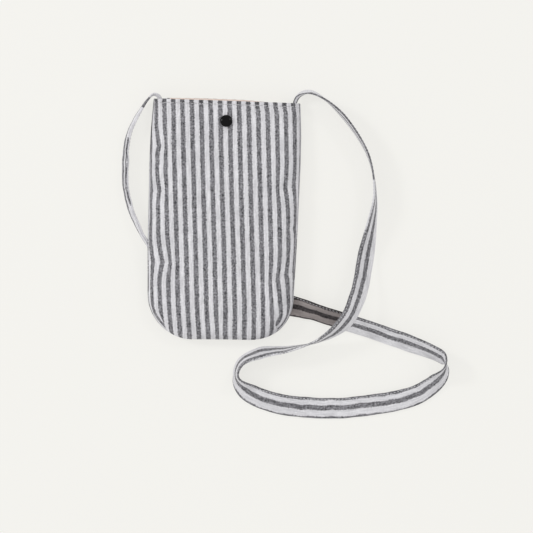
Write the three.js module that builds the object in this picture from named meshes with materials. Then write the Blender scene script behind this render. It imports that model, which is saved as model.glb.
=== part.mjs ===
// A phone bag of striped cotton that lies on its back, with a snap at the mouth and a long strap.
// Millimetres. X runs across the bag, Y up to the mouth, Z out of the front, and Z = 0 is the floor.
import * as THREE from "three";

// At the end everything is moved this far along Y, so that the middle of the pouch is at the origin.
const MIDDLE_Y = -1.6;

// Pouch
const TOP = 95;
const BOTTOM = -93.9;
const CORNER_R = 36;
const CORNER_Y = BOTTOM + CORNER_R;
const WALL = 1.4;
const GAP = 0.3;
const SEAM_Z = 6.5;
const FRONT_ROUND = 18;
const BACK_ROUND = 11;
const BACK_OVER = 0.6;

// Half the width of the pouch at each height.
const OUTLINE = [
  { y: 95, half: 57.2 },
  { y: 84, half: 57.9 },
  { y: 70, half: 58.7 },
  { y: 47, half: 59.0 },
  { y: 22, half: 58.7 },
  { y: -2, half: 58.4 },
  { y: -30, half: 57.8 },
  { y: -57, half: 57.0 },
];

// Height of the front's middle line above the floor.
const CROWN = [
  { y: 95, z: 12.6 },
  { y: 86, z: 13.6 },
  { y: 72, z: 15.0 },
  { y: 45, z: 17.2 },
  { y: 5, z: 18.0 },
  { y: -45, z: 17.8 },
  { y: -95, z: 17.0 },
];

// How far the back's top edge stands above the front's, and the depth over which that fades below the mouth.
const RISE_FADE = 30;
const BACK_RISE = [
  { x: -58, rise: 0 },
  { x: -46, rise: 1.4 },
  { x: -18, rise: 2.0 },
  { x: 12, rise: 1.8 },
  { x: 32, rise: 0.6 },
  { x: 58, rise: 0 },
];

// How far the bottom edge stands above its plain curve, how much more the back's is tucked in, and the heights
// between which that fades.
const BOTTOM_SHIFT = [
  { x: -30, shift: 0 },
  { x: 8, shift: 1.1 },
  { x: 25, shift: 1.2 },
  { x: 37, shift: 0 },
  { x: 50, shift: -1.5 },
  { x: 58, shift: -1.8 },
];
const BACK_TUCK = 0.7;
const SHIFT_FROM = -40;
const SHIFT_TO = -80;

// Dents and tucks in the front: middle, depth, half length, half width, and the turn of its long side.
const DENTS = [
  { x: -54, y: 59, deep: 1.3, long: 10, wide: 5, turn: 4 },
  { x: -54, y: 23, deep: 1.0, long: 10, wide: 5, turn: 0 },
  { x: -47, y: -33, deep: 1.2, long: 12, wide: 5, turn: 6 },
  { x: 54, y: 28, deep: 1.5, long: 12, wide: 5, turn: 8 },
  { x: 50, y: -41, deep: 1.6, long: 13, wide: 5, turn: 27 },
  { x: -44.5, y: -79, deep: 1.3, long: 10, wide: 4, turn: 98 },
  { x: 47, y: -79, deep: 1.3, long: 9, wide: 4, turn: 74 },
];

// Heights of the rows of points above the corners, then angles round the corners.
const ROWS_Y = [95, 91, 86, 79, 72, 64, 54, 44, 34, 24, 14, 4, -5, -13, -21, -29, -38, -47, CORNER_Y];
const ROWS_TURN = [12, 24, 36, 47, 58, 68, 78, 85, 90];
const COLUMNS = 24;

// Lining
const LINING_WALL = 1.0;
const LINING_ROUND = 16;
const LINING_GAP = 0.45;
const LINING_DROP = 0.5;
const LINING_DROP_FADE = 15;
const LINING_COLUMNS = 16;
const LINING_ROWS = [95, 86, 79, 70, 58, 42, 26, 10, -6, -19, -29, -41, -53];
const LINING_TURN = [20, 42, 62, 78, 90];
// Gap between the lining's side edge and the wall: wide at the mouth, where the strap's ends are sewn in.
const LINING_INSET = [
  { y: 95, inset: 10.6 },
  { y: 82, inset: 10.6 },
  { y: 66, inset: 2.5 },
  { y: 40, inset: 2.0 },
  { y: -95, inset: 2.0 },
];

// Snap
const SNAP_Y = 79;
const SNAP_SPAN = 7;
const CAP_R = 4.75;
const CAP_HIGH = 2.4;
const SOCKET_R = 4.4;
const SOCKET_HIGH = 1.8;
const STUD_R = 4.2;
const STUD_BASE = 0.8;
const STUD_POST_R = 1.8;
const STUD_HIGH = 2.2;
const STUD_CLEAR = 0.3;
const SNAP_SIDES = 24;
// Profile of the cap, as shares of its radius and height.
const CAP_PROFILE = [
  { radius: 0, high: 0 },
  { radius: 0.9, high: 0 },
  { radius: 1, high: 0.22 },
  { radius: 0.96, high: 0.5 },
  { radius: 0.8, high: 0.8 },
  { radius: 0.45, high: 0.96 },
  { radius: 0, high: 1 },
];

// Strap
const STRAP_WIDE = 16.5;
const STRAP_THICK = 1.5;
// Its ends are gathered where they are sewn in: their width, and the length over which it grows.
const END_WIDE = 7.5;
const END_LONG = 34;
const STRAP_STEPS = 3;
const FLOOR_CLEAR = 0.3;
const CREASE_MITRE = 1.2;
// The route of the strap's middle line. lift is its height over where it would rest on the floor, roll turns
// its stitched edge about the route (0 is flat to the left, 90 is up), and fold creases it lengthwise.
const STRAP = [
  { x: -54.4, y: 88.5, lift: 4.1, roll: 90, fold: -75 },
  { x: -54.3, y: 95.2, lift: 4.7, roll: 76, fold: -76 },
  { x: -57.9, y: 97.9, lift: 3.5, roll: 8, fold: -77 },
  { x: -62.6, y: 94.4, lift: 1.8, roll: -6, fold: -78 },
  { x: -77.0, y: 67.7, lift: 0, roll: -13, fold: -78 },
  { x: -80.4, y: 42.0, lift: 0, roll: -31, fold: -78 },
  { x: -76.6, y: 12.6, lift: 0, roll: -23, fold: -78 },
  { x: -67.7, y: -6.8, lift: 0, roll: -13, fold: -78 },
  { x: -57.4, y: -21.5, lift: 0, roll: 0, fold: -77 },
  { x: -46.0, y: -33.5, lift: 0, roll: 2, fold: -38 },
  { x: -27.0, y: -45.0, lift: 0, roll: 3, fold: 0 },
  { x: 15.0, y: -58.0, lift: 0, roll: 4, fold: 0 },
  { x: 56.5, y: -64.7, lift: 0, roll: 12, fold: 0 },
  { x: 74.5, y: -69.0, lift: 0, roll: 37, fold: 0 },
  { x: 150.0, y: -91.2, lift: 0, roll: 37, fold: 0 },
  { x: 176.3, y: -101.8, lift: 0, roll: 57, fold: 0 },
  { x: 178.9, y: -108.0, lift: 0, roll: 99, fold: 0 },
  { x: 174.2, y: -118.4, lift: 0, roll: 143, fold: 0 },
  { x: 158.0, y: -131.0, lift: 0, roll: 162, fold: 0 },
  { x: 125.0, y: -140.3, lift: 0, roll: 171, fold: 0 },
  { x: 85.0, y: -144.7, lift: 0, roll: 174, fold: 0 },
  { x: 47.0, y: -142.0, lift: 0, roll: 170, fold: 0 },
  { x: 24.6, y: -134.0, lift: 0, roll: 157, fold: 0 },
  { x: 14.4, y: -122.0, lift: 0, roll: 101, fold: 0 },
  { x: 17.6, y: -110.4, lift: 0, roll: 110, fold: 0 },
  { x: 33.0, y: -102.6, lift: 0, roll: 122, fold: 0 },
  { x: 56.0, y: -98.6, lift: 0, roll: 102, fold: 0 },
  { x: 79.0, y: -91.0, lift: 4, roll: 80, fold: 0 },
  { x: 97.0, y: -77.5, lift: 12.5, roll: 47, fold: 0 },
  { x: 107.0, y: -58.0, lift: 9.2, roll: 37, fold: 0 },
  { x: 113.6, y: -22.0, lift: 1.2, roll: 37, fold: 0 },
  { x: 116.2, y: -4.0, lift: 0, roll: 55, fold: 0 },
  { x: 119.0, y: 25.0, lift: 0, roll: 83, fold: 0 },
  { x: 112.5, y: 56.0, lift: 0, roll: 92, fold: 0 },
  { x: 91.0, y: 87.0, lift: 0, roll: 97, fold: 0 },
  { x: 73.5, y: 100.6, lift: 0, roll: 85, fold: -2 },
  { x: 64.0, y: 103.4, lift: 0.2, roll: 71, fold: -12 },
  { x: 57.6, y: 100.4, lift: 1.6, roll: 80, fold: -38 },
  { x: 54.9, y: 95.2, lift: 4.0, roll: 90, fold: -74 },
  { x: 54.8, y: 88.5, lift: 4.0, roll: 90, fold: -75 },
];

// The pouch is drawn up over the strap: half the width over which it counts as under the pouch, clearance,
// flat width beside it, and width of the slope.
const DRAPE_HALF = 59;
const DRAPE_CLEAR = 0.7;
const DRAPE_FLAT = 6;
const DRAPE_SLOPE = 16;
// The lining bridges that rise more widely.
const LINING_BRIDGE = 6;
// The side seam is lifted where the folded strap slips under the left edge.
const SEAM_LIFT = { x: -58, y: -20, high: 5.4, long: 27 };

const COTTON = new THREE.MeshStandardMaterial({ color: 0xb4b3b6, roughness: 0.9 });
const BEIGE = new THREE.MeshStandardMaterial({ color: 0xe6d6cc, roughness: 0.9 });
const BLACK = new THREE.MeshStandardMaterial({ color: 0x101012, roughness: 0.25, metalness: 0.4 });
const STEEL = new THREE.MeshStandardMaterial({ color: 0x9a9a9c, roughness: 0.35, metalness: 0.9 });

const radians = THREE.MathUtils.degToRad;
const clamp = THREE.MathUtils.clamp;
const smooth = (t) => THREE.MathUtils.smoothstep(t, 0, 1);

// The value of a table's column at a place along its key column, straight between rows.
function along(rows, key, column, at) {
  const up = rows[rows.length - 1][key] > rows[0][key];
  const last = rows.length - 2;
  let i = 0;
  while (i < last && (up ? at > rows[i + 1][key] : at < rows[i + 1][key])) i += 1;
  const span = rows[i + 1][key] - rows[i][key];
  const share = clamp((at - rows[i][key]) / span, 0, 1);
  return THREE.MathUtils.lerp(rows[i][column], rows[i + 1][column], share);
}

// A quarter round: 0 at the edge, 1 from the given width on.
function quarter(distance, width) {
  const t = clamp(distance / width, 0, 1);
  return Math.sqrt(1 - (1 - t) * (1 - t));
}

const halfWidth = (y) => along(OUTLINE, "y", "half", y);
const STRAIGHT = halfWidth(CORNER_Y) - CORNER_R;

// Distance inside the front's outline. The back's runs outside it by BACK_OVER.
function edgeDistance(x, y) {
  const across = Math.abs(x);
  if (y >= CORNER_Y) return halfWidth(y) - across;
  if (across <= STRAIGHT) return y - BOTTOM;
  return CORNER_R - Math.hypot(across - STRAIGHT, CORNER_Y - y);
}

// One point of the strap's section across its route: side is 1 at the stitched edge, 0 at the middle and -1 at
// the plain edge, and face is 1 on the outer face and -1 on the inner one.
function strapPoint(frame, side, face) {
  const fold = radians(frame.fold);
  const point = frame.at.clone();
  if (side === 0) {
    const inside = Math.sign(frame.fold) === face;
    const mitre = 1 / Math.cos(fold);
    const reach = (STRAP_THICK / 2) * (inside ? mitre : Math.min(mitre, CREASE_MITRE));
    return point.addScaledVector(frame.normal, face * reach);
  }
  point.addScaledVector(frame.across, (side * Math.cos(fold) * frame.wide) / 2);
  point.addScaledVector(frame.normal, (Math.sin(fold) * frame.wide) / 2);
  point.addScaledVector(frame.normal, (face * Math.cos(fold) * STRAP_THICK) / 2);
  return point.addScaledVector(frame.across, (-face * side * Math.sin(fold) * STRAP_THICK) / 2);
}

// The six corners of the section, round it.
const SECTION = [
  [1, 1],
  [0, 1],
  [-1, 1],
  [-1, -1],
  [0, -1],
  [1, -1],
];

function strapFrame(at, tangent, { roll, fold, wide }) {
  const up = new THREE.Vector3(0, 0, 1).addScaledVector(tangent, -tangent.z).normalize();
  const left = up.clone().cross(tangent);
  const turn = radians(roll);
  const across = left.clone().multiplyScalar(Math.cos(turn)).addScaledVector(up, Math.sin(turn));
  return { at, across, normal: across.clone().cross(tangent), fold, wide };
}

// How high the middle line lies over the floor for the strap to rest on it.
function restHeight(section) {
  const flat = strapFrame(new THREE.Vector3(), new THREE.Vector3(1, 0, 0), section);
  const lowest = Math.min(...SECTION.map(([side, face]) => strapPoint(flat, side, face).z));
  return FLOOR_CLEAR - lowest;
}

// The strap's steps along its route: the place of its middle line, and how it is turned there.
function strapFrames() {
  const curve = new THREE.CatmullRomCurve3(
    STRAP.map((row) => new THREE.Vector3(row.x, row.y, row.lift)),
    false,
    "centripetal",
  );
  const spans = STRAP.length - 1;
  const count = spans * STRAP_STEPS;
  const places = [];
  const reach = [];
  for (let i = 0; i <= count; i += 1) {
    places.push(curve.getPoint(i / count));
    reach.push(i === 0 ? 0 : reach[i - 1] + places[i].distanceTo(places[i - 1]));
  }
  const steps = places.map((place, i) => {
    const row = Math.min(Math.floor(i / STRAP_STEPS), spans - 1);
    const share = i / STRAP_STEPS - row;
    const roll = THREE.MathUtils.lerp(STRAP[row].roll, STRAP[row + 1].roll, share);
    const fold = THREE.MathUtils.lerp(STRAP[row].fold, STRAP[row + 1].fold, share);
    const fromEnd = Math.min(reach[i], reach[count] - reach[i]);
    const wide = THREE.MathUtils.lerp(END_WIDE, STRAP_WIDE, smooth(fromEnd / END_LONG));
    const section = { roll, fold, wide };
    const at = place.clone().setZ(Math.max(place.z, 0) + restHeight(section));
    return { at, section };
  });
  return steps.map((step, i) => {
    const before = steps[Math.max(i - 1, 0)].at;
    const after = steps[Math.min(i + 1, count)].at;
    const tangent = after.clone().sub(before).normalize();
    return strapFrame(step.at, tangent, step.section);
  });
}

const FRAMES = strapFrames();
// Each step of the strap that lies under the pouch: its place, half its width in plan, and its highest point.
const isUnder = ({ at }) => at.y < 0 && at.y > BOTTOM && Math.abs(at.x) < DRAPE_HALF;
const UNDER = FRAMES.filter(isUnder).map((frame) => {
  const corners = SECTION.map(([side, face]) => strapPoint(frame, side, face));
  const wide = Math.max(...corners.map((c) => Math.hypot(c.x - frame.at.x, c.y - frame.at.y)));
  return { x: frame.at.x, y: frame.at.y, wide, top: Math.max(...corners.map((c) => c.z)) };
});

// How far the back is drawn up over the strap at a place, with some more width beside it.
function drape(x, y, more) {
  let lift = 0;
  for (let i = 0; i + 1 < UNDER.length; i += 1) {
    const a = UNDER[i];
    const b = UNDER[i + 1];
    const dx = b.x - a.x;
    const dy = b.y - a.y;
    const share = clamp(((x - a.x) * dx + (y - a.y) * dy) / (dx * dx + dy * dy), 0, 1);
    const away = Math.hypot(x - a.x - share * dx, y - a.y - share * dy);
    const wide = THREE.MathUtils.lerp(a.wide, b.wide, share);
    const top = THREE.MathUtils.lerp(a.top, b.top, share) + DRAPE_CLEAR;
    const fall = 1 - smooth((away - wide - DRAPE_FLAT - more) / DRAPE_SLOPE);
    lift = Math.max(lift, top * fall);
  }
  return lift;
}

function seamHeight(x, y) {
  const near = Math.hypot((x - SEAM_LIFT.x) / 2, y - SEAM_LIFT.y) / SEAM_LIFT.long;
  return SEAM_Z + SEAM_LIFT.high * (1 - smooth(near));
}

function dents(x, y) {
  let deep = 0;
  for (const dent of DENTS) {
    const turn = radians(dent.turn);
    const dx = x - dent.x;
    const dy = y - dent.y;
    const lengthways = (dx * Math.cos(turn) + dy * Math.sin(turn)) / dent.long;
    const sideways = (dy * Math.cos(turn) - dx * Math.sin(turn)) / dent.wide;
    deep += dent.deep * Math.exp(-lengthways * lengthways - sideways * sideways);
  }
  return deep;
}

// Heights of the two panels, at an inset from their outer faces.
function frontZ(x, y, inset) {
  const rise = quarter(edgeDistance(x, y) - inset, FRONT_ROUND);
  const seam = seamHeight(x, y) + GAP / 2;
  const crown = along(CROWN, "y", "z", y) - dents(x, y);
  return seam + (crown - inset - seam) * rise;
}

function backZ(x, y, inset, more = 0) {
  const fall = quarter(edgeDistance(x, y) + BACK_OVER - inset, BACK_ROUND);
  const seam = seamHeight(x, y) - GAP / 2;
  const room = frontZ(x, y, WALL) - WALL - 2 * GAP;
  const floor = inset + Math.min(drape(x, y, more), room);
  return seam + (floor - seam) * fall;
}

// Rows of points over the pouch's outline at an inset, from the mouth down.
function rowsOf(inset, heights, turns) {
  const rows = heights.map((y) => ({ y, half: halfWidth(y) - inset }));
  for (const turn of turns) {
    const radius = CORNER_R - inset;
    const y = CORNER_Y - radius * Math.sin(radians(turn));
    rows.push({ y, half: STRAIGHT + radius * Math.cos(radians(turn)) });
  }
  return rows;
}

const spread = (j, columns) => Math.sin((Math.PI / 2) * ((2 * j) / columns - 1));
const topShift = (x, y) => along(BACK_RISE, "x", "rise", x) * (1 - smooth((TOP - y) / RISE_FADE));
const lowShare = (y) => smooth((SHIFT_FROM - y) / (SHIFT_FROM - SHIFT_TO));
const bottomShift = (x, y) => along(BOTTOM_SHIFT, "x", "shift", x) * lowShare(y);

// A grid of points over a panel whose outline runs outside the front's by over.
function sheetOf(over, inset, height, back) {
  return rowsOf(inset - over, ROWS_Y, ROWS_TURN).map((row) => {
    const points = [];
    for (let j = 0; j <= COLUMNS; j += 1) {
      const x = row.half * spread(j, COLUMNS);
      const backShift = back ? topShift(x, row.y) + BACK_TUCK * lowShare(row.y) : 0;
      const y = row.y + bottomShift(x, row.y) + backShift;
      points.push(new THREE.Vector3(x, y, height(x, row.y, inset)));
    }
    return points;
  });
}

// Triangles gathered as loose corners, so that equal places are merged when the mesh is read.
class Faces {
  constructor() {
    this.corners = [];
  }
  triangle(a, b, c) {
    this.corners.push(...a, ...b, ...c);
  }
  quad(a, b, c, d) {
    this.triangle(a, b, c);
    this.triangle(a, c, d);
  }
  mesh(name, material) {
    const geometry = new THREE.BufferGeometry();
    geometry.setAttribute("position", new THREE.Float32BufferAttribute(this.corners, 3));
    geometry.computeVertexNormals();
    const mesh = new THREE.Mesh(geometry, material);
    mesh.name = name;
    return mesh;
  }
}

// A closed wall between two grids of points. Its first grid faces up.
function wall(upper, lower, name, material) {
  const faces = new Faces();
  const rows = upper.length - 1;
  const columns = upper[0].length - 1;
  for (let i = 0; i < rows; i += 1) {
    for (let j = 0; j < columns; j += 1) {
      faces.quad(upper[i][j], upper[i + 1][j], upper[i + 1][j + 1], upper[i][j + 1]);
      faces.quad(lower[i][j], lower[i][j + 1], lower[i + 1][j + 1], lower[i + 1][j]);
    }
    faces.quad(upper[i][0], lower[i][0], lower[i + 1][0], upper[i + 1][0]);
    faces.quad(upper[i + 1][columns], lower[i + 1][columns], lower[i][columns], upper[i][columns]);
  }
  for (let j = 0; j < columns; j += 1) {
    faces.quad(upper[0][j + 1], lower[0][j + 1], lower[0][j], upper[0][j]);
    faces.quad(upper[rows][j], lower[rows][j], lower[rows][j + 1], upper[rows][j + 1]);
  }
  return faces.mesh(name, material);
}

function frontPanel() {
  const outer = sheetOf(0, 0, frontZ, false);
  const inner = sheetOf(0, WALL, frontZ, false);
  return wall(outer, inner, "front_panel", COTTON);
}

function backPanel() {
  const outer = sheetOf(BACK_OVER, 0, backZ, true);
  const inner = sheetOf(BACK_OVER, WALL, backZ, true);
  return wall(inner, outer, "back_panel", COTTON);
}

// How far the lining's own outline lies inside the pouch's.
const liningInset = (y) => WALL + along(LINING_INSET, "y", "inset", y);

// Height of the lining at an inset from its outer face, on the front or the back half.
function liningZ(x, y, inset, front) {
  const open = quarter(edgeDistance(x, y) - liningInset(y) - inset, LINING_ROUND);
  const high = frontZ(x, y, WALL) - LINING_GAP - 2 * dents(x, y);
  const low = backZ(x, y, WALL, LINING_BRIDGE) + LINING_GAP;
  const middle = (high + low) / 2;
  const outer = front ? high - inset : low + inset;
  return middle + (outer - middle) * open;
}

// Rings of points round the lining at an inset: the front from left to right, then the back.
function liningRings(inset) {
  const rows = LINING_ROWS.map((y) => ({ y, half: halfWidth(y) - liningInset(y) - inset }));
  rows.push(...rowsOf(liningInset(BOTTOM) + inset, [], LINING_TURN));
  return rows.map((row) => {
    const ring = [];
    for (let k = 0; k < 2 * LINING_COLUMNS; k += 1) {
      const front = k < LINING_COLUMNS;
      const j = front ? k : 2 * LINING_COLUMNS - k;
      const x = row.half * spread(j, LINING_COLUMNS);
      const edge = j === 0 || j === LINING_COLUMNS;
      const rise = front || edge ? 0 : topShift(x, row.y);
      const drop = LINING_DROP * (1 - smooth((TOP - row.y) / LINING_DROP_FADE));
      const y = row.y + bottomShift(x, row.y) + rise - drop;
      ring.push(new THREE.Vector3(x, y, liningZ(x, row.y, inset, front)));
    }
    return ring;
  });
}

function lining() {
  const faces = new Faces();
  const outer = liningRings(0);
  const inner = liningRings(LINING_WALL);
  const around = 2 * LINING_COLUMNS;
  for (let k = 0; k < around; k += 1) {
    const next = (k + 1) % around;
    for (let i = 0; i + 1 < outer.length; i += 1) {
      faces.quad(outer[i][k], outer[i + 1][k], outer[i + 1][next], outer[i][next]);
      faces.quad(inner[i][k], inner[i][next], inner[i + 1][next], inner[i + 1][k]);
    }
    faces.quad(outer[0][k], outer[0][next], inner[0][next], inner[0][k]);
  }
  return faces.mesh("lining", BEIGE);
}

function strap() {
  const faces = new Faces();
  const rings = FRAMES.map((frame) => SECTION.map(([side, face]) => strapPoint(frame, side, face)));
  for (let i = 0; i + 1 < rings.length; i += 1) {
    for (let k = 0; k < SECTION.length; k += 1) {
      const next = (k + 1) % SECTION.length;
      faces.quad(rings[i][k], rings[i + 1][k], rings[i + 1][next], rings[i][next]);
    }
  }
  const first = rings[0];
  const last = rings[rings.length - 1];
  faces.quad(first[0], first[1], first[4], first[5]);
  faces.quad(first[1], first[2], first[3], first[4]);
  faces.quad(last[0], last[5], last[4], last[1]);
  faces.quad(last[1], last[4], last[3], last[2]);
  return faces.mesh("strap", COTTON);
}

// A turned piece about its own Z, set on the pouch's middle line with the slope of what it sits on.
function turned(name, profile, z, slope, material) {
  const points = profile.map(([r, h]) => new THREE.Vector2(r, h));
  const geometry = new THREE.LatheGeometry(points, SNAP_SIDES);
  geometry.rotateX(Math.PI / 2);
  const mesh = new THREE.Mesh(geometry, material);
  mesh.name = name;
  mesh.position.set(0, SNAP_Y, z);
  mesh.rotation.x = Math.atan(slope);
  return mesh;
}

function snap() {
  const slope = (frontZ(0, SNAP_Y + SNAP_SPAN, 0) - frontZ(0, SNAP_Y - SNAP_SPAN, 0)) / (2 * SNAP_SPAN);
  const cap = CAP_PROFILE.map((row) => [row.radius * CAP_R, row.high * CAP_HIGH]);
  const hollow = STUD_POST_R + STUD_CLEAR;
  const socket = [
    [0, -SOCKET_HIGH / 2],
    [hollow, -SOCKET_HIGH / 2],
    [hollow, -SOCKET_HIGH],
    [SOCKET_R - STUD_BASE, -SOCKET_HIGH],
    [SOCKET_R, -SOCKET_HIGH / 2],
    [SOCKET_R, 0],
    [0, 0],
  ];
  const stud = [
    [0, 0],
    [STUD_R, 0],
    [STUD_R, STUD_BASE / 2],
    [STUD_R - STUD_BASE, STUD_BASE],
    [STUD_POST_R, STUD_BASE],
    [STUD_POST_R, STUD_HIGH - STUD_BASE / 2],
    [STUD_POST_R - STUD_BASE / 2, STUD_HIGH],
    [0, STUD_HIGH],
  ];
  const inside = LINING_WALL;
  return [
    turned("snap_cap", cap, frontZ(0, SNAP_Y, 0) + GAP, slope, BLACK),
    turned("snap_socket", socket, liningZ(0, SNAP_Y, inside, true) - GAP, slope, STEEL),
    turned("snap_stud", stud, liningZ(0, SNAP_Y, inside, false) + GAP, 0, STEEL),
  ];
}

const bag = new THREE.Group();
bag.name = "phone_bag";
bag.add(frontPanel(), backPanel(), lining(), strap(), ...snap());
for (const piece of bag.children) piece.position.y += MIDDLE_Y;

export default bag;
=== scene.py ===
# A phone bag of striped cotton lying on its back, with a black snap at its mouth and a long flat strap.
# Sizes are in millimetres. X runs across the bag, Y up to its mouth, Z out of its front.
import math

import bpy
import numpy as np
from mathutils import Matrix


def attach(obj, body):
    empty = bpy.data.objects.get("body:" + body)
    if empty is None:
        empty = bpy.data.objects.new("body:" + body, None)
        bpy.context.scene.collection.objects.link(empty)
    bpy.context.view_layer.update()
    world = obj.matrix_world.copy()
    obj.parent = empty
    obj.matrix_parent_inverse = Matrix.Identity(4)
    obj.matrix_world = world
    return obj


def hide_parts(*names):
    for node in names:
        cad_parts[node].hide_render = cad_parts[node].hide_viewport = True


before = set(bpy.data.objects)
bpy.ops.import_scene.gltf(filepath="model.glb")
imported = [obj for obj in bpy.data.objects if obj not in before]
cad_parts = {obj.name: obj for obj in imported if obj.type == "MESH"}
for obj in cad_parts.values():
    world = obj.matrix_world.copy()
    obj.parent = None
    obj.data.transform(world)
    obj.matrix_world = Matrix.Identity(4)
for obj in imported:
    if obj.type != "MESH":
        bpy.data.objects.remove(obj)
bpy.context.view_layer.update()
MM = 0.001
TINY = 0.01

# Camera: the photograph's scale, the place in the middle of the picture, and the bag's turn
IMAGE_PX = 533
PX_PER_MM = 1.27
AIM = (35.4, -35.9, 10.0)
TURN = math.radians(1.9)
CAMERA_HIGH = 2500
SENSOR = 36

# All is moved this far along Y at the end, so that the pouch's middle is at the origin
MIDDLE_Y = -1.6

# Pouch
TOP = 95
BOTTOM = -93.9
CORNER_R = 36
CORNER_Y = BOTTOM + CORNER_R
WALL = 1.4
SEAM_Z = 6.5
SEAM_GAP = 0.16
FRONT_ROUND = 18
BACK_ROUND = 11
BACK_OVER = 0.6
RISE_FADE = 30
# Height along the pouch, and half its width there
OUTLINE = np.array([
    (-57, 57.0), (-30, 57.8), (-2, 58.4), (22, 58.7), (47, 59.0), (70, 58.7), (84, 57.9), (95, 57.2),
])
OUTLINE_BLUR = 3
# Height along the pouch, and how high its front stands over the floor
CROWN = np.array([(-95, 17.0), (-45, 17.8), (5, 18.0), (45, 17.2), (72, 15.0), (86, 13.6), (95, 12.6)])
# Place across the pouch, and how far the back's top edge stands above the front's
BACK_RISE = np.array([(-58, 0), (-46, 1.4), (-18, 2.0), (12, 1.8), (32, 0.6), (58, 0)])
# Place across the pouch, and how far the bottom edge stands above its plain curve
BOTTOM_SHIFT = np.array([(-30, 0), (8, 1.1), (25, 1.2), (37, 0), (50, -1.5), (58, -1.8)])
SHIFT_BLUR = 4
# How much further the back's bottom edge is tucked in, and the heights between which both fade
BACK_TUCK = 0.7
SHIFT_FADE = (-40, -80)
# Dents of the front: middle x and y, depth, half length, half width, turn of the long side in degrees
DENTS = [
    (-54, 59, 1.3, 10, 5, 4),
    (-54, 23, 1.0, 10, 5, 0),
    (-47, -33, 1.2, 12, 5, 6),
    (54, 28, 1.5, 12, 5, 8),
    (50, -41, 1.6, 13, 5, 27),
    (-44.5, -79, 1.3, 10, 4, 98),
    (47, -79, 1.3, 9, 4, 74),
]
# Creases that run in from the side seams: their two ends, how far above and below them the stripes are bent
# and by how much at most, and the crease's depth
CREASES = [dict(zip(("outer", "inner", "above", "below", "shift", "deep"), row)) for row in (
    ((-58, 58.5), (-43, 56.0), 17, 8, 2.3, 0.50),
    ((-56, 46.5), (-41, 45.5), 8, 6, 0.8, 0.30),
    ((-58, 23.5), (-41, 22.0), 16, 12, 1.7, 0.45),
    ((-57, -32.5), (-32, -34.5), 22, 15, 2.9, 0.55),
    ((58, 29.5), (36, 26.5), 20, 17, -1.9, 0.55),
    ((58, -3.0), (51, -5.0), 4, 4, -1.2, 0.30),
    ((57, -37.5), (31, -51.0), 19, 34, -2.6, 0.60),
)]
CREASE_WIDE = 1.5
CREASE_RIDGE = 0.5
# Where along a crease the stripes bend most, by what share less at the seam, and how that dies away
CREASE_PEAK = 0.55
CREASE_LESS = 0.3
CREASE_BLUNT = 1.6
CREASE_FALL = 1.6
# Tucks at the lower corners: tip, end, lean of the line where their stripes part above the tip, by what share
# and over what length these are squeezed to the seam, and the height over which they turn round
TUCKS = [
    {"tip": (-48.0, -73), "end": (-43.3, -83.3), "lean": -0.46, "squeeze": 0.27, "over": 26, "ease": 22},
    {"tip": (43.9, -79.9), "end": (47.2, -84.1), "lean": 0.07, "squeeze": 0.8, "over": 24, "ease": 20},
]
# How far in from the seam they are squeezed, then the groove
TUCK_REACH = 7
TUCK_DEEP = 0.55
TUCK_WIDE = 0.9
TUCK_FADE = 6
NO_TUCK = -20.0

# Stripes: distance between dark stripes, their width, slant to the grain, and the place of the middle one
PITCH = 7.44
DARK_WIDE = 3.7
SLANT = 0.060
BACK_SLANT = 0.024
STRIPE_X = 7.6
# Towards the sides the stripes are drawn in, by so much over so wide a margin
EDGE_PULL = 0.8
EDGE_PULL_WIDE = 26
RIB_STEP = 1.15
# The hem twists the stripes of the right half: by how much, and from where to where across and up
JOG = {"shift": 0.9, "x": (10, 36), "y": (86, 92)}

# Hem: how far its stitches are below the mouth, its puff above them, their groove and the bulge below
HEM_Y = 2.2
HEM_PUFF = 0.22
HEM_LIP = 0.6
HEM_LIP_SHARE = 0.4
HEM_GROOVE = 0.38
HEM_GROOVE_WIDE = 0.7
HEM_BULGE = {"high": 0.12, "below": 2.2, "wide": 1.6}
HEM_FADE = 2
HEM_DARK_OVER = 0.4
HEM_STITCH = {"long": 2.8, "step": 3.05, "radius": 0.29}
HEM_STITCH_END = 3.5
HEM_STITCH_UP = 0.18

# Distances from the seam over which soft unevenness grows, puckers die away and relief starts
SOFT_FULL = 14
PUCKER_FADE = 4.5
SEAM_FADE = 1.5
INNER_FADE = 6
FINE_DRAWN = 0.6
PUCKER_DRAWN = 0.2
# Unevenness by name: size, width of its bumps and seed of its noise
UNEVEN = {
    "soft": (0.22, 33, 1),
    "fine": (0.10, 11, 2),
    "pucker": (0.30, 5.5, 3),
    "hem": (1.0, 4.0, 4),
    "stripe": (0.18, 26, 7),
    "thickness": (0.05, 4.0, 11),
    "edge": (0.22, 9.0, 12),
    "face": (0.12, 5.0, 13),
    "drift": (0.35, 38.0, 14),
    "waver": (0.34, 6.0, 15),
    "braid": (1.0, 6.5, 17),
    "dash": (1.0, 11.0, 18),
    "sway": (4, 7.0, 21),
}

# Lining
LINING_WALL = 1.0
LINING_ROUND = 16
LINING_GAP = 0.45
LINING_DROP = 0.5
LINING_DROP_FADE = 15
LINING_INSET = np.array([(-95, 2.0), (40, 2.0), (66, 2.5), (82, 10.6), (95, 10.6)])
LINING_BRIDGE = 6
LINING_LIP = 0.3

# Snap
SNAP_Y = 79
SNAP_SPAN = 7
CAP_R = 4.75
CAP_HIGH = 2.4
CAP_SIDE = 0.7
CAP_ROWS = 16
SOCKET_R = 4.4
SOCKET_HIGH = 1.8
STUD_R = 4.2
STUD_HIGH = 2.2
POST_R = 1.8
SNAP_GAP = 0.3
SNAP_HOLE = 0.02
SNAP_DIMPLE = {"deep": 0.30, "wide": 2.0}
TURNED_SIDES = 64

# Strap
STRAP_WIDE = 16.5
STRAP_THICK = 1.5
FLOOR_CLEAR = 0.3
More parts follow.
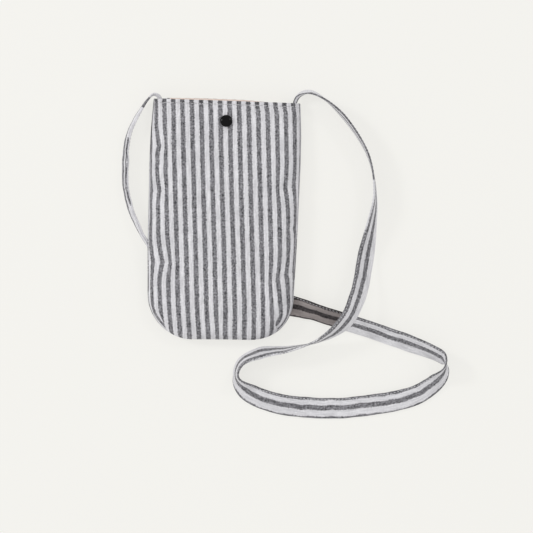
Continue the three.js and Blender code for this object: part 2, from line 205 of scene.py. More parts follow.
# Share of its half width over which a fold turns
CREASE_SHARE = 0.11
# Its gathered ends: their width, the length over which they widen, and their share of the thickness
END_WIDE = 5.5
END_LONG = 40
END_THIN = 0.4
EVEN_LONG = 25
# Distance along the strap, and how much tighter it is folded there than on the route
FOLD_TIGHT = np.array([(0, 1.20), (20, 1.20), (62, 1.18), (101, 1.18), (140, 1.18), (165, 1.06)])
FOLD_FULL = 78
FOLD_CREASE = {"wide": 0.12, "thin": 0.3}
SWAY_FROM = 30
SWAY_EASE = 20
# Stitches draw the strap in: width, depth, and its shares that are even and that come with each stitch
PUCKER = {"wide": 1.4, "deep": 0.16, "even": 0.6, "each": 0.4}
# Stripes across the strap: distance from the stitched edge, and the stripe there, dark within a quarter of a
# whole number. The inner face has no dark one after LAST_WHITE
STRAP_STRIPES = np.array([
    (-4.0, -0.53), (-1.9, -0.25), (2.1, 0.25), (5.9, 0.75), (9.9, 1.25), (15.0, 1.75), (16.5, 1.95),
])
LAST_WHITE = 1.6
# The folded stretch is pale, but for a dark patch near its end and wandering stripes on its plain side
PALE = 0.5
PALE_TO = 155
PALE_EASE = 10
PATCH = (13, 27)
PATCH_EASE = (3, 4)
PATCH_EDGE = 10.5
PATCH_EDGE_EASE = 1.5
BRAID = (44, 115)
BRAID_EASE = (20, 20)
BRAID_STRIPES = np.array([(8.2, 0.55), (9.4, 0.70), (9.7, 0.75), (13.1, 1.25), (14.8, 1.75), (16.2, 2.25)])
# Elsewhere on that side there is a faint streak
FAINT_STRIPES = np.array([(8.2, 0.55), (10.2, 0.71), (10.8, 0.75), (12.4, 1.25), (13.4, 1.29), (16.3, 1.5)])
# Distance along the strap, and how far its stripes are shifted to the plain edge, which leaves a pale rim
STRIPE_SHIFT = np.array([
    (585, 0), (605, 2.4), (660, 2.4), (690, 1.4), (760, 1.4), (785, 3.2), (810, 3.2), (830, 0),
])
# From here on the rim has dark dashes
DASH_FROM = 785
DASH_EASE = 20
DASH_LEVEL = (-0.1, 0.2)
# The stretch beside the pouch gets painted shadow: its colour is made darker and browner there, as if the
# pouch shaded it
SHADE_X = (44, 104)
SHADE_EASE = (10, 5)
SHADE_TO = 360
# Route of the strap's middle line: x, y and lift over its rest on the floor in metres, then its roll about
# the route and its fold lengthwise in degrees
ROUTE = [
    (-0.0544, 0.0885, 0.0041, 90, -75),
    (-0.0543, 0.0952, 0.0047, 76, -76),
    (-0.0579, 0.0979, 0.0035, 8, -77),
    (-0.0626, 0.0944, 0.0018, -6, -78),
    (-0.0770, 0.0677, 0, -13, -78),
    (-0.0804, 0.0420, 0, -31, -78),
    (-0.0766, 0.0126, 0, -23, -78),
    (-0.0677, -0.0068, 0, -13, -78),
    (-0.0574, -0.0215, 0, 0, -77),
    (-0.0460, -0.0335, 0, 2, -38),
    (-0.0270, -0.0450, 0, 3, 0),
    (0.0150, -0.0580, 0, 4, 0),
    (0.0565, -0.0647, 0, 12, 0),
    (0.0745, -0.0690, 0, 37, 0),
    (0.1500, -0.0912, 0, 37, 0),
    (0.1763, -0.1018, 0, 57, 0),
    (0.1789, -0.1080, 0, 99, 0),
    (0.1742, -0.1184, 0, 143, 0),
    (0.1580, -0.1310, 0, 162, 0),
    (0.1250, -0.1403, 0, 171, 0),
    (0.0850, -0.1447, 0, 174, 0),
    (0.0470, -0.1420, 0, 170, 0),
    (0.0246, -0.1340, 0, 157, 0),
    (0.0144, -0.1220, 0, 101, 0),
    (0.0176, -0.1104, 0, 110, 0),
    (0.0330, -0.1026, 0, 122, 0),
    (0.0560, -0.0986, 0, 102, 0),
    (0.0790, -0.0910, 0.004, 80, 0),
    (0.0970, -0.0775, 0.0125, 47, 0),
    (0.1070, -0.0580, 0.0092, 37, 0),
    (0.1136, -0.0220, 0.0012, 37, 0),
    (0.1162, -0.0040, 0, 55, 0),
    (0.1190, 0.0250, 0, 83, 0),
    (0.1125, 0.0560, 0, 92, 0),
    (0.0910, 0.0870, 0, 97, 0),
    (0.0735, 0.1006, 0, 85, -2),
    (0.0640, 0.1034, 0.0002, 71, -12),
    (0.0576, 0.1004, 0.0016, 80, -38),
    (0.0549, 0.0952, 0.0040, 90, -74),
    (0.0548, 0.0885, 0.0040, 90, -75),
]
STRAP_STITCH = {"long": 1.7, "step": 2.76, "radius": 0.2}
STRAP_STITCH_IN = 1.1
STRAP_STITCH_SINK = 0.10
# Every stitch: how far its middle stands out and its ends dip, by radius, and how thin the ends are
STITCH_BOW = 1.5
STITCH_DIP = 0.9
STITCH_THIN = 0.55
STITCH_FIRST = 0.8

# The pouch is drawn up over the strap
DRAPE_HALF = 59
DRAPE_CLEAR = 0.7
DRAPE_FLAT = 6
DRAPE_SLOPE = 16
SEAM_LIFT = {"x": -58, "y": -20, "high": 5.4, "long": 27, "wide": 54}

# Grids
COLUMNS = 104
EDGE_CROWD = 0.55
ROW_STEP = 1.35
CORNER_ROWS = 46
LIP_ROWS = 6
LIP_FADE = 6
LINING_COLUMNS = 48
LINING_ROWS = 72
LINING_CORNER_ROWS = 23
LINING_LIP_ROWS = 3
STRAP_STEPS = 40
STRAP_STEP = 1.1
STRAP_ACROSS = 22
STRAP_EDGE_ROWS = 3
SECTION_STEPS = 161
TURN_SOFT = 3
LIFT_SOFT = 2
UNDER_EVERY = 4
ROUND_STEPS = 400
STITCH_RINGS = 7
STITCH_SIDES = 6
STITCH_FREE_STEPS = 20
HEM_STEPS = 160
SIDES = np.linspace(-1, 1, 9)


def smooth(t):
    t = np.clip(t, 0, 1)
    return t * t * (3 - 2 * t)


def ramp(value, low, high):
    """A smooth step from 0 at low to 1 at high."""
    return smooth((value - low) / (high - low))


def within(at, ends, eases):
    """1 between two ends, eased in and out."""
    return smooth((at - ends[0]) / eases[0]) * smooth((ends[1] - at) / eases[1])


def eased(rows, at, blur=5.0):
    """The value of a short table at a place, with its corners rounded."""
    steps = np.linspace(-blur, blur, 9)
    return np.mean([np.interp(at + step, *rows.T) for step in steps], axis=0)


def quarter(distance, width):
    """A quarter round: 0 at the edge, 1 from the given width on."""
    t = np.clip(distance / width, 0, 1)
    return np.sqrt(1 - (1 - t) ** 2)


def noise(x, y, cell, seed):
    """Smooth noise from -1 to 1 with bumps about one cell wide."""
    size = 64
    lattice = np.random.default_rng(seed).uniform(-1, 1, (size, size))
    i = np.floor(x / cell).astype(int)
    j = np.floor(y / cell).astype(int)
    a = smooth(x / cell - i)
    b = smooth(y / cell - j)

    def corner(p, q):
        return lattice[p % size, q % size]

    low = corner(i, j) * (1 - a) + corner(i + 1, j) * a
    high = corner(i, j + 1) * (1 - a) + corner(i + 1, j + 1) * a
    return low * (1 - b) + high * b


def uneven(kind, x, y=0):
    size, cell, seed = UNEVEN[kind]
    return size * noise(x, y + 0 * x, cell, seed)


def lerp(a, b, share):
    return a + (b - a) * share


def unit(vectors):
    return vectors / np.linalg.norm(vectors, axis=-1, keepdims=True)


def arc_lengths(points):
    steps = np.linalg.norm(np.diff(points, axis=0), axis=1)
    return np.concatenate([[0], np.cumsum(steps)])


def read_at(at, along, columns):
    """Columns of values along a way, read at other places of it."""
    return np.stack([np.interp(at, along, column) for column in columns.T], axis=-1)


# Pouch outline
def half_width(y):
    return eased(OUTLINE, y, OUTLINE_BLUR)


STRAIGHT = float(half_width(CORNER_Y)) - CORNER_R


def edge_distance(x, y):
    """How far a place lies inside the front's outline."""
    across = np.abs(x)
    side = half_width(y) - across
    round_corner = CORNER_R - np.hypot(across - STRAIGHT, CORNER_Y - y)
    low = np.where(across <= STRAIGHT, y - BOTTOM, round_corner)
    return np.where(y >= CORNER_Y, side, low)


# Strap
def route_points():
    """Points along the route, its roll and its fold, on a centripetal Catmull-Rom curve through the rows."""
    rows = np.array(ROUTE, float)
    places = rows[:, :3] / MM
    padded = np.vstack([2 * places[0] - places[1], places, 2 * places[-1] - places[-2]])
    points = []
    turns = []
    for i in range(len(places) - 1):
        p0, p1, p2, p3 = padded[i:i + 4]
        d0, d1, d2 = (math.sqrt(np.linalg.norm(b - a)) for a, b in ((p0, p1), (p1, p2), (p2, p3)))
        leave = ((p1 - p0) / d0 - (p2 - p0) / (d0 + d1) + (p2 - p1) / d1) * d1
        arrive = ((p2 - p1) / d1 - (p3 - p1) / (d1 + d2) + (p3 - p2) / d2) * d1
        last = i == len(places) - 2
        for share in np.linspace(0, 1, STRAP_STEPS + 1)[:STRAP_STEPS + last]:
            cubic = 2 * p1 - 2 * p2 + leave + arrive
            square = -3 * p1 + 3 * p2 - 2 * leave - arrive
            points.append(p1 + leave * share + square * share ** 2 + cubic * share ** 3)
            turns.append(lerp(rows[i, 3:], rows[i + 1, 3:], share))
    return np.array(points), np.array(turns)


def softened(values, reach):
    """Values along the strap, averaged over a few steps to each side."""
    padded = np.pad(values, ((reach, reach), (0, 0)), mode="edge")
    weights = np.hanning(2 * reach + 3)[1:-1]
    weights /= weights.sum()
    return np.stack([np.convolve(column, weights, mode="valid") for column in padded.T], axis=1)


def section(fold, wide, sides):
    """The middle of the strap's section: places across and along its normal, and its slope, at sides from the
    plain edge, -1, to the stitched one, 1."""
    fine = np.linspace(-1, 1, SECTION_STEPS)
    slope = np.radians(fold)[:, None] * np.tanh(fine / CREASE_SHARE)
    step = (fine[1] - fine[0]) * wide[:, None] / 2
    run = np.cumsum(np.cos(slope), axis=1) * step
    rise = np.cumsum(np.sin(slope), axis=1) * step
    middle = len(fine) // 2
    run -= run[:, middle:middle + 1]
    rise -= rise[:, middle:middle + 1]
    return tuple(read_at(sides, fine, rows.T).T for rows in (run, rise, slope))


def evenly(points, values, step):
    """Points and their values again, at even steps along the way."""
    along = arc_lengths(points)
    at = np.linspace(0, along[-1], round(along[-1] / step) + 1)
    return read_at(at, along, points), read_at(at, along, values)


class Strap:
    """The strap's steps along its route, and the frame of its section at each."""

    def __init__(self):
        points, turns = evenly(*route_points(), STRAP_STEP)
        turns = softened(turns, TURN_SOFT)
        self.points = points
        self.along = arc_lengths(points)
        from_end = np.minimum(self.along, self.along[-1] - self.along)
        self.wide = lerp(END_WIDE, STRAP_WIDE, smooth(from_end / END_LONG))
        self.folded = np.clip(-turns[:, 1] / FOLD_FULL, 0, 1)
        self.fold = turns[:, 1] * np.interp(self.along, *FOLD_TIGHT.T)
        sway = self.folded * smooth((self.along - SWAY_FROM) / SWAY_EASE) * uneven("sway", self.along)
        self.roll = np.radians(turns[:, 0] + sway)
        lift = np.maximum(points[:, 2], 0)
        self.points[:, 2] = lift
        for _ in range(2):
            self.set_frames()
            lowest = self.surface(SIDES, 0)[:, :, 2].min(axis=1) - STRAP_THICK / 2
            self.points[:, 2] += FLOOR_CLEAR + lift - lowest
            self.points[:, 2:] = softened(self.points[:, 2:], LIFT_SOFT)
        self.set_frames()
        self.along = arc_lengths(self.points)

    def set_frames(self):
        tangent = unit(np.gradient(self.points, axis=0))
        up = unit(np.array([0, 0, 1]) - tangent * tangent[:, 2:])
        left = np.cross(up, tangent)
        turn = self.roll[:, None]
        self.across = left * np.cos(turn) + up * np.sin(turn)
        self.normal = np.cross(self.across, tangent)

    def surface(self, sides, height, wobble=0):
        """Points at each step and side, at a height over the strap's middle along its own normal."""
        run, rise, lean = section(self.fold, self.wide, sides)
        out_across = -np.sin(lean) * height
        out_normal = np.cos(lean) * height
        across = (run + out_across + wobble)[:, :, None] * self.across[:, None]
        normal = (rise + out_normal)[:, :, None] * self.normal[:, None]
        return self.points[:, None] + across + normal


strap = Strap()


# Pouch surfaces
def under_strap():
    """Each step of the strap under the pouch: its place, half its width in plan, and its highest point."""
    edge = strap.surface(SIDES, 0)
    away = np.linalg.norm(edge[:, :, :2] - strap.points[:, None, :2], axis=-1)
    top = edge[:, :, 2].max(axis=1) + STRAP_THICK / 2
    rows = np.column_stack([strap.points[:, :2], away.max(axis=1), top])
    under = (rows[:, 1] < 0) & (rows[:, 1] > BOTTOM) & (np.abs(rows[:, 0]) < DRAPE_HALF)
    return rows[under][::UNDER_EVERY]


UNDER = under_strap()


def drape(x, y, more):
    """How far the back is drawn up over the strap, with some more width beside it."""
    lift = np.zeros_like(x)
    for a, b in zip(UNDER[:-1], UNDER[1:]):
        run = b[:2] - a[:2]
        share = np.clip(((x - a[0]) * run[0] + (y - a[1]) * run[1]) / (run @ run), 0, 1)
        away = np.hypot(x - a[0] - share * run[0], y - a[1] - share * run[1])
        wide = lerp(a[2], b[2], share)
        top = lerp(a[3], b[3], share) + DRAPE_CLEAR
        fall = 1 - smooth((away - wide - DRAPE_FLAT - more) / DRAPE_SLOPE)
        lift = np.maximum(lift, top * fall)
    return lift


def seam_height(x, y):
    across = (x - SEAM_LIFT["x"]) / SEAM_LIFT["wide"]
    near = np.hypot(across, (y - SEAM_LIFT["y"]) / SEAM_LIFT["long"])
    return SEAM_Z + SEAM_LIFT["high"] * (1 - smooth(near))


def dents(x, y):
    deep = np.zeros_like(x)
    for middle_x, middle_y, depth, long, wide, turn in DENTS:
        angle = math.radians(turn)
        c, s = math.cos(angle), math.sin(angle)
        lengthways = ((x - middle_x) * c + (y - middle_y) * s) / long
        sideways = ((y - middle_y) * c - (x - middle_x) * s) / wide
        deep += depth * np.exp(-lengthways ** 2 - sideways ** 2)
    return deep


def front_z(x, y, inset):
    rise = quarter(edge_distance(x, y) - inset, FRONT_ROUND)
    seam = seam_height(x, y) + SEAM_GAP / 2
    crown = eased(CROWN, y) - dents(x, y)
    return seam + (crown - inset - seam) * rise


def back_z(x, y, inset, more=0):
    fall = quarter(edge_distance(x, y) + BACK_OVER - inset, BACK_ROUND)
    seam = seam_height(x, y) - SEAM_GAP / 2
    room = front_z(x, y, WALL) - WALL - 2 * SNAP_GAP
    floor = inset + np.minimum(drape(x, y, more), room)
    return seam + (floor - seam) * fall


def tuck_side(tuck, x, y):
    """Distance from a tuck's line, positive on the side of the seam."""
    (tip_x, tip_y), (end_x, end_y) = tuck["tip"], tuck["end"]
    below = (end_x - tip_x) * (y - tip_y) / (end_y - tip_y)
    line = tip_x + np.where(y < tip_y, below, tuck["lean"] * (y - tip_y))
    return (x - line) * np.sign(tip_x)


def crease_place(crease, x, y):
    """Share of the way along a crease from its inner end, and distance above its line."""
    (outer_x, outer_y), (inner_x, inner_y) = crease["outer"], crease["inner"]
    along = np.maximum((x - inner_x) / (outer_x - inner_x), 0)
    return along, y - lerp(inner_y, outer_y, along)


def front_relief(x, y):
    """Small relief of the front: unevenness, puckers at the seam, creases, tucks and the stitched hem."""
    edge = np.maximum(edge_distance(x, y), 0)
    in_seam = smooth(edge / SEAM_FADE)
    high = smooth(edge / SOFT_FULL) * (uneven("soft", x, y) + uneven("fine", x, FINE_DRAWN * y))
    high += np.exp(-edge / PUCKER_FADE) * in_seam * uneven("pucker", PUCKER_DRAWN * x, y)
    for crease in CREASES:
        along, sideways = crease_place(crease, x, y)
        away = np.abs(sideways) / CREASE_WIDE
        valley = np.exp(-away ** 2) - CREASE_RIDGE * np.exp(-(away - 2) ** 2)
        high -= crease["deep"] * smooth(2 * along) * in_seam * valley
    for tuck in TUCKS:
        below = smooth((tuck["tip"][1] - y) / TUCK_FADE)
        high -= TUCK_DEEP * below * in_seam * np.exp(-(tuck_side(tuck, x, y) / TUCK_WIDE) ** 2)
    row = y - (TOP - HEM_Y)
    in_hem = smooth(edge / HEM_FADE)
    bulge = HEM_BULGE["high"] * np.exp(-((row + HEM_BULGE["below"]) / HEM_BULGE["wide"]) ** 2)
    high += HEM_PUFF * smooth(row) * smooth((TOP - y) / HEM_LIP + HEM_LIP_SHARE)
    high -= HEM_GROOVE * np.exp(-(row / HEM_GROOVE_WIDE) ** 2) * in_hem
    high += bulge * (1 + uneven("hem", x, y)) * in_hem
    ring = np.hypot(x, y - SNAP_Y)
    high -= SNAP_DIMPLE["deep"] * np.exp(-((ring - CAP_R) / SNAP_DIMPLE["wide"]) ** 2)
    return high


def pouch_grid(inset):
    """Places of a panel's grid, in rows from the mouth down."""
    straight = np.linspace(TOP, CORNER_Y, round((TOP - CORNER_Y) / ROW_STEP) + 1)
    turn = np.radians(np.linspace(0, 90, CORNER_ROWS + 1)[1:])
    y = np.concatenate([straight, CORNER_Y - (CORNER_R - inset) * np.sin(turn)])
    half = np.concatenate([half_width(straight) - inset, STRAIGHT + (CORNER_R - inset) * np.cos(turn)])
    even = np.linspace(-1, 1, COLUMNS + 1)
    spread = lerp(even, np.sin(even * math.pi / 2), EDGE_CROWD)
    return half[:, None] * spread, np.repeat(y[:, None], COLUMNS + 1, axis=1)


def top_shift(x, y):
    return eased(BACK_RISE, x, SHIFT_BLUR) * (1 - smooth((TOP - y) / RISE_FADE))


def low_share(y):
    return ramp(y, *SHIFT_FADE)


def bottom_shift(x, y):
    return eased(BOTTOM_SHIFT, x, SHIFT_BLUR) * low_share(y)


def edge_shift(x, y, back):
    """How far a panel's edges at the mouth and the bottom stand above their plain curves."""
    shift = bottom_shift(x, y)
    return shift + top_shift(x, y) + BACK_TUCK * low_share(y) if back else shift


# Stripes
def across_cloth(x, z):
    """Distance across the cloth from the pouch's middle line, along each row of a grid."""
    steps = np.hypot(np.diff(x, axis=1), np.diff(z, axis=1))
    along = np.cumsum(np.pad(steps, ((0, 0), (1, 0))), axis=1)
    middle = x.shape[1] // 2
    return along - along[:, middle:middle + 1]


def crease_shift(x, y):
    """How far the creases carry the stripes along with them."""
    shift = np.zeros_like(x)
    for crease in CREASES:
        along, over = crease_place(crease, x, y)
        grows = smooth(along / CREASE_PEAK) * (1 - CREASE_LESS * ramp(along, CREASE_PEAK, 1))
        blunt = np.hypot(over, CREASE_BLUNT) - CREASE_BLUNT
        away = blunt / np.where(over > 0, crease["above"], crease["below"])
        shift += crease["shift"] * grows * np.maximum(1 - away, 0) ** CREASE_FALL
    return shift


def over_round(inside):
    """Distance over the rounded front from the seam to a place this far inside the outline."""
    edge = np.linspace(0, FRONT_ROUND, ROUND_STEPS)
    high = (eased(CROWN, CORNER_Y) - SEAM_Z) * quarter(edge, FRONT_ROUND)
    arc = arc_lengths(np.column_stack([edge, high]))
    return np.interp(inside, edge, arc) + np.maximum(inside - FRONT_ROUND, 0)


def front_stripes(x, y, across):
    """The front's stripe coordinate as it runs straight down and as it turns round a corner, and the side of
    the tuck, positive where the second one holds."""
    inside = np.maximum(edge_distance(x, y), 0)
    jog = JOG["shift"] * ramp(y, *JOG["y"]) * ramp(x, *JOG["x"])
    straight = across + SLANT * y - STRIPE_X + jog - crease_shift(x, y)
    pull = EDGE_PULL * (1 - smooth(inside / EDGE_PULL_WIDE))
    straight += np.sign(x) * pull + uneven("stripe", x, y)
    round_in = over_round(inside)
    around = CORNER_R * np.arctan2(np.maximum(CORNER_Y - y, 0), np.maximum(np.abs(x) - STRAIGHT, TINY))
    row = np.argmin(np.abs(y[:, 0] - CORNER_Y))
    turned = straight.copy()
    side_of = np.full_like(x, NO_TUCK)
    for tuck in TUCKS:
        sign = np.sign(tuck["tip"][0])
        seam = straight[row, -1 if sign > 0 else 0]
        squeeze = tuck["squeeze"] * smooth(around / tuck["over"])
        corner = seam - sign * (round_in + squeeze * np.minimum(round_in, TUCK_REACH))
        share = smooth((CORNER_Y - y) / tuck["ease"])
        here = (np.sign(x) == sign) & (y < CORNER_Y)
        turned = np.where(here, lerp(straight, corner, share), turned)
        side_of = np.where(here, tuck_side(tuck, x, y), side_of)
    return straight, turned, side_of


def back_stripes(x, y, across):
    straight = across + BACK_SLANT * y - STRIPE_X
    return straight, straight, np.full_like(x, NO_TUCK)


# Meshes
def dress(piece, node=None):
    """Says what a piece rides on, and hides the node that it stands in for."""
    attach(piece, "root")
    if node:
        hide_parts(node)


def add(name, data):
    thing = bpy.data.objects.new(name, data)
    bpy.context.scene.collection.objects.link(thing)
    return thing


def make_mesh(name, points, faces, uvs, material):
    """A smooth mesh from points in millimetres, with each named map given as two values for each point."""
    mesh = bpy.data.meshes.new(name)
    places = (points.reshape(-1, 3) + (0, MIDDLE_Y, 0)) * MM
    mesh.from_pydata(places.tolist(), [], faces)
    mesh.validate()
    corner = np.empty(len(mesh.loops), int)
    mesh.loops.foreach_get("vertex_index", corner)
    for map_name, pair in uvs.items():
        values = np.stack(np.broadcast_arrays(*pair), axis=-1).reshape(-1, 2)
        layer = mesh.uv_layers.new(name=map_name)
        layer.data.foreach_set("uv", values.astype(np.float32)[corner].ravel())
    mesh.polygons.foreach_set("use_smooth", np.ones(len(mesh.polygons), bool))
    mesh.materials.append(material)
    mesh.update()
    return add(name, mesh)


def grid_faces(rows, columns, around=False):
    """Quads of a grid of points, or of a tube if it goes around."""
    i = np.arange(rows - 1)[:, None] * columns
    j = np.arange(columns if around else columns - 1)
    k = (j + 1) % columns
    return np.stack([i + j, i + columns + j, i + columns + k, i + k], axis=-1).reshape(-1, 4)


def wall_faces(rows, columns):
    """Quads of a closed wall: a grid up the inside and down the outside, joined at its sides and bottom."""
    faces = [grid_faces(rows, columns)]
    i = np.arange(rows // 2 - 1)
    quads = np.stack([i, i + 1, rows - 2 - i, rows - 1 - i], axis=-1) * columns
    faces += [quads, quads[:, [0, 3, 2, 1]] + columns - 1]
    j = np.arange(columns - 1)
    last = (rows - 1) * columns
    faces.append(np.stack([j, j + 1, last + j + 1, last + j], axis=-1))
    return np.vstack(faces)


def rounded_lip(inner, outer, high, rows):
    """Rows of points over the rounded edge of a wall, from its inside out."""
    turns = np.linspace(0, math.pi, rows + 2)[1:-1, None, None]
    lip = (outer + inner) / 2 - (outer - inner) / 2 * np.cos(turns)
    lip[:, :, 1] += high * np.sin(turns[:, :, 0])
    return lip


def panel(name, over, height, stripes, material, up):
    """A panel of the pouch as one closed wall: up the inside, over the rounded lip and down the outside."""
    outer_x, outer_y = pouch_grid(-over)
    inner_x, inner_y = pouch_grid(WALL - over)
    outer_z = height(outer_x, outer_y, 0)
    inner_z = height(inner_x, inner_y, WALL)
    across = across_cloth(outer_x, outer_z)
    straight, turned, side = stripes(outer_x, outer_y, across)
    if up:
        relief = front_relief(outer_x, outer_y)
        outer_z = outer_z + relief
        inner_z = inner_z + relief * smooth(edge_distance(inner_x, inner_y) / INNER_FADE)
    inner_y = inner_y + edge_shift(inner_x, inner_y, not up)
    outer_y = outer_y + edge_shift(outer_x, outer_y, not up)
    outer = np.stack([outer_x, outer_y, outer_z], axis=-1)
    inner = np.stack([inner_x, inner_y, inner_z], axis=-1)
    lip = rounded_lip(inner[0], outer[0], WALL / 2, LIP_ROWS)
    lip[:, :, 1] -= WALL / 2
    for wall in (outer, inner):
        wall[:, :, 1] -= WALL / 2 * smooth((wall[:, :, 1] - (TOP - LIP_FADE)) / LIP_FADE)
    points = np.concatenate([inner[::-1], lip, outer])

    def over_wall(values):
        return np.concatenate([values[::-1], np.repeat(values[:1], LIP_ROWS, axis=0), values])

    level = over_wall(outer_y)
    uvs = {
        "stripe": (over_wall(straight), level),
        "turned": (over_wall(turned), over_wall(side)),
        "weave": (over_wall(across), points[:, :, 1]),
        "shade": (0.0, up * smooth((level - TOP + HEM_Y) / HEM_DARK_OVER)),
    }
    faces = wall_faces(*points.shape[:2])
    if not up:
        faces = faces[:, ::-1]
    return make_mesh(name, points, faces.tolist(), uvs, material)


def lining_inset(y):
    return WALL + eased(LINING_INSET, y, OUTLINE_BLUR)


def lining_z(x, y, inset, front):
    opened = quarter(edge_distance(x, y) - lining_inset(y) - inset, LINING_ROUND)
    high = front_z(x, y, WALL) - LINING_GAP - 2 * dents(x, y)
    low = back_z(x, y, WALL, LINING_BRIDGE) + LINING_GAP
    middle = (high + low) / 2
    outer = np.where(front, high - inset, low + inset)
    return middle + (outer - middle) * opened


def lining_rings(inset):
    """Rings of points round the lining at an inset, from the mouth down."""
    straight = np.linspace(TOP, CORNER_Y, LINING_ROWS)
    turn = np.radians(np.linspace(0, 90, LINING_CORNER_ROWS + 1)[1:])
    radius = CORNER_R - WALL - LINING_INSET[0, 1] - inset
    y = np.concatenate([straight, CORNER_Y - radius * np.sin(turn)])
    upper = half_width(straight) - lining_inset(straight) - inset
    half = np.concatenate([upper, STRAIGHT + radius * np.cos(turn)])
    k = np.arange(2 * LINING_COLUMNS)
    front = k < LINING_COLUMNS
    j = np.where(front, k, 2 * LINING_COLUMNS - k)
    spread = np.sin((math.pi / 2) * (2 * j / LINING_COLUMNS - 1))
    x = half[:, None] * spread
    rows = np.repeat(y[:, None], len(k), axis=1)
    z = lining_z(x, rows, inset, front)
    edge = (j == 0) | (j == LINING_COLUMNS)
    rise = np.where(front | edge, 0, 1) * top_shift(x, rows)
    drop = LINING_DROP * (1 - smooth((TOP - rows) / LINING_DROP_FADE))
    return np.stack([x, rows + bottom_shift(x, rows) + rise - drop, z], axis=-1)


def make_lining(material):
    inner = lining_rings(LINING_WALL)
    outer = lining_rings(0)
    lip = rounded_lip(inner[0], outer[0], LINING_LIP, LINING_LIP_ROWS)
    points = np.concatenate([inner[::-1], lip, outer])
    rows, around = points.shape[:2]
    faces = grid_faces(rows, around, True).tolist()
    for ring, flip in ((0, True), (rows - 1, False)):
        k = np.arange(LINING_COLUMNS)
        a = ring * around + k
        d = ring * around + (2 * LINING_COLUMNS - k) % around
        closing = np.stack([a, a + 1, np.roll(d, -1), d], axis=-1)[1:-1].tolist()
        closing += np.array([(a[0], a[1], d[1]), (a[-1], a[-1] + 1, d[-1])]).tolist()
        faces += [face[::-1] for face in closing] if flip else closing
    return make_mesh("lining_cloth", points, faces, {"weave": (points[:, :, 0], points[:, :, 1])}, material)


# Strap piece
def make_strap(material):
    """The strap as a flat folded ribbon with rounded and slightly uneven edges."""
    round_share = STRAP_THICK / STRAP_WIDE
    flat = np.linspace(1, -1, STRAP_ACROSS + 1) * (1 - round_share)
    turns = np.linspace(0, math.pi, STRAP_EDGE_ROWS + 2)[1:-1]
    edge = 1 - round_share + round_share * np.sin(turns)
    ring_side = np.concatenate([flat, -edge, -flat, edge])
    face = np.concatenate([np.ones_like(flat), np.cos(turns), -np.ones_like(flat), -np.cos(turns)])
    s, from_edge = np.meshgrid(strap.along, (1 - ring_side) * STRAP_WIDE / 2, indexing="ij")
    from_end = np.minimum(s, strap.along[-1] - s)
    each = np.cos(2 * math.pi * s / STRAP_STITCH["step"])
    pucker = np.exp(-((from_edge - STRAP_STITCH_IN) / PUCKER["wide"]) ** 2)
    pucker *= PUCKER["deep"] * (PUCKER["even"] + PUCKER["each"] * each)
    crease = np.exp(-(ring_side / FOLD_CREASE["wide"]) ** 2) * strap.folded[:, None]
    thick = STRAP_THICK / 2 * lerp(END_THIN, 1, smooth(from_end / END_LONG))
    thick *= 1 - FOLD_CREASE["thin"] * crease
    thick += uneven("thickness", s, from_edge) - pucker
    wobble = smooth(from_end / EVEN_LONG) * (uneven("edge", s) + uneven("face", s, from_edge))
    points = strap.surface(ring_side, face * thick, wobble)
    rows, around = points.shape[:2]
    faces = grid_faces(rows, around, True)[:, ::-1].tolist()
    last = (rows - 1) * around
    faces += [list(range(around)), list(range(last + around - 1, last - 1, -1))]
    # Painted shadow: marks the stretch beside the pouch, to be tinted darker and browner as if the pouch
    # shaded it
    shade = within(strap.points[:, :1], SHADE_X, SHADE_EASE) * (s < SHADE_TO)
    stripe = strap_stripes(s, from_edge, (face < 0.5) & (shade < 0.5))
    uvs = {"stripe": (stripe, s), "turned": (stripe, NO_TUCK), "weave": (from_edge, s), "shade": (shade, 0.0)}
    return make_mesh("strap_ribbon", points, faces, uvs, material)


def strap_stripes(s, from_edge, inner):
    """The stripe coordinate over the strap: wavering stripes, and the pale folded stretch with its own."""
    dash = ramp(uneven("dash", s), *DASH_LEVEL) * smooth((s - DASH_FROM) / DASH_EASE)
    at = np.maximum(from_edge + uneven("drift", s) + uneven("waver", s), 0)
    stripe = np.interp(at - eased(STRIPE_SHIFT, s) * (1 - dash), *STRAP_STRIPES.T)
    stripe = np.where(inner, np.minimum(stripe, LAST_WHITE), stripe)
    braid = within(s, BRAID, BRAID_EASE)
    patch = within(s, PATCH, PATCH_EASE)
    wandering = np.interp(from_edge + braid * uneven("braid", s), *BRAID_STRIPES.T)
    streaks = lerp(np.interp(from_edge, *FAINT_STRIPES.T), wandering, braid)
    streaks = lerp(streaks, 1.0, patch * smooth((from_edge - PATCH_EDGE) / PATCH_EDGE_EASE))
    pale = np.where(from_edge > STRAP_WIDE / 2, streaks, PALE * (1 - patch))
    folded = strap.folded[:, None] * smooth((PALE_TO - s) / PALE_EASE)
    return lerp(stripe, pale, folded) * PITCH


# Stitches
def stitch_row(path, normal, stitch):
    """Points and quads of the stitches along a path: short threads whose ends dip into the cloth."""
    along = arc_lengths(path)
    count = int((along[-1] - 2 * STITCH_FIRST) / stitch["step"])
    starts = STITCH_FIRST + np.arange(count) * stitch["step"]
    share = np.linspace(0, 1, STITCH_RINGS)
    at = starts[:, None] + share * stitch["long"]
    place = read_at(at, along, path)
    out = unit(read_at(at, along, normal))
    aside = np.cross(unit(np.gradient(place, axis=1)), out)
    bow = np.sqrt(np.sin(share * math.pi))
    centre = place + out * (stitch["radius"] * (STITCH_BOW * bow - STITCH_DIP))[:, None]
    thick = stitch["radius"] * lerp(STITCH_THIN, 1, bow)
    turns = np.linspace(0, 2 * math.pi, STITCH_SIDES, endpoint=False)[:, None]
    ring = np.cos(turns) * aside[:, :, None] + np.sin(turns) * out[:, :, None]
    points = centre[:, :, None] + ring * thick[:, None, None]
    single = grid_faces(STITCH_RINGS, STITCH_SIDES, True)
    faces = np.arange(count)[:, None, None] * STITCH_RINGS * STITCH_SIDES + single[None]
    return points.reshape(-1, 3), faces.reshape(-1, 4)


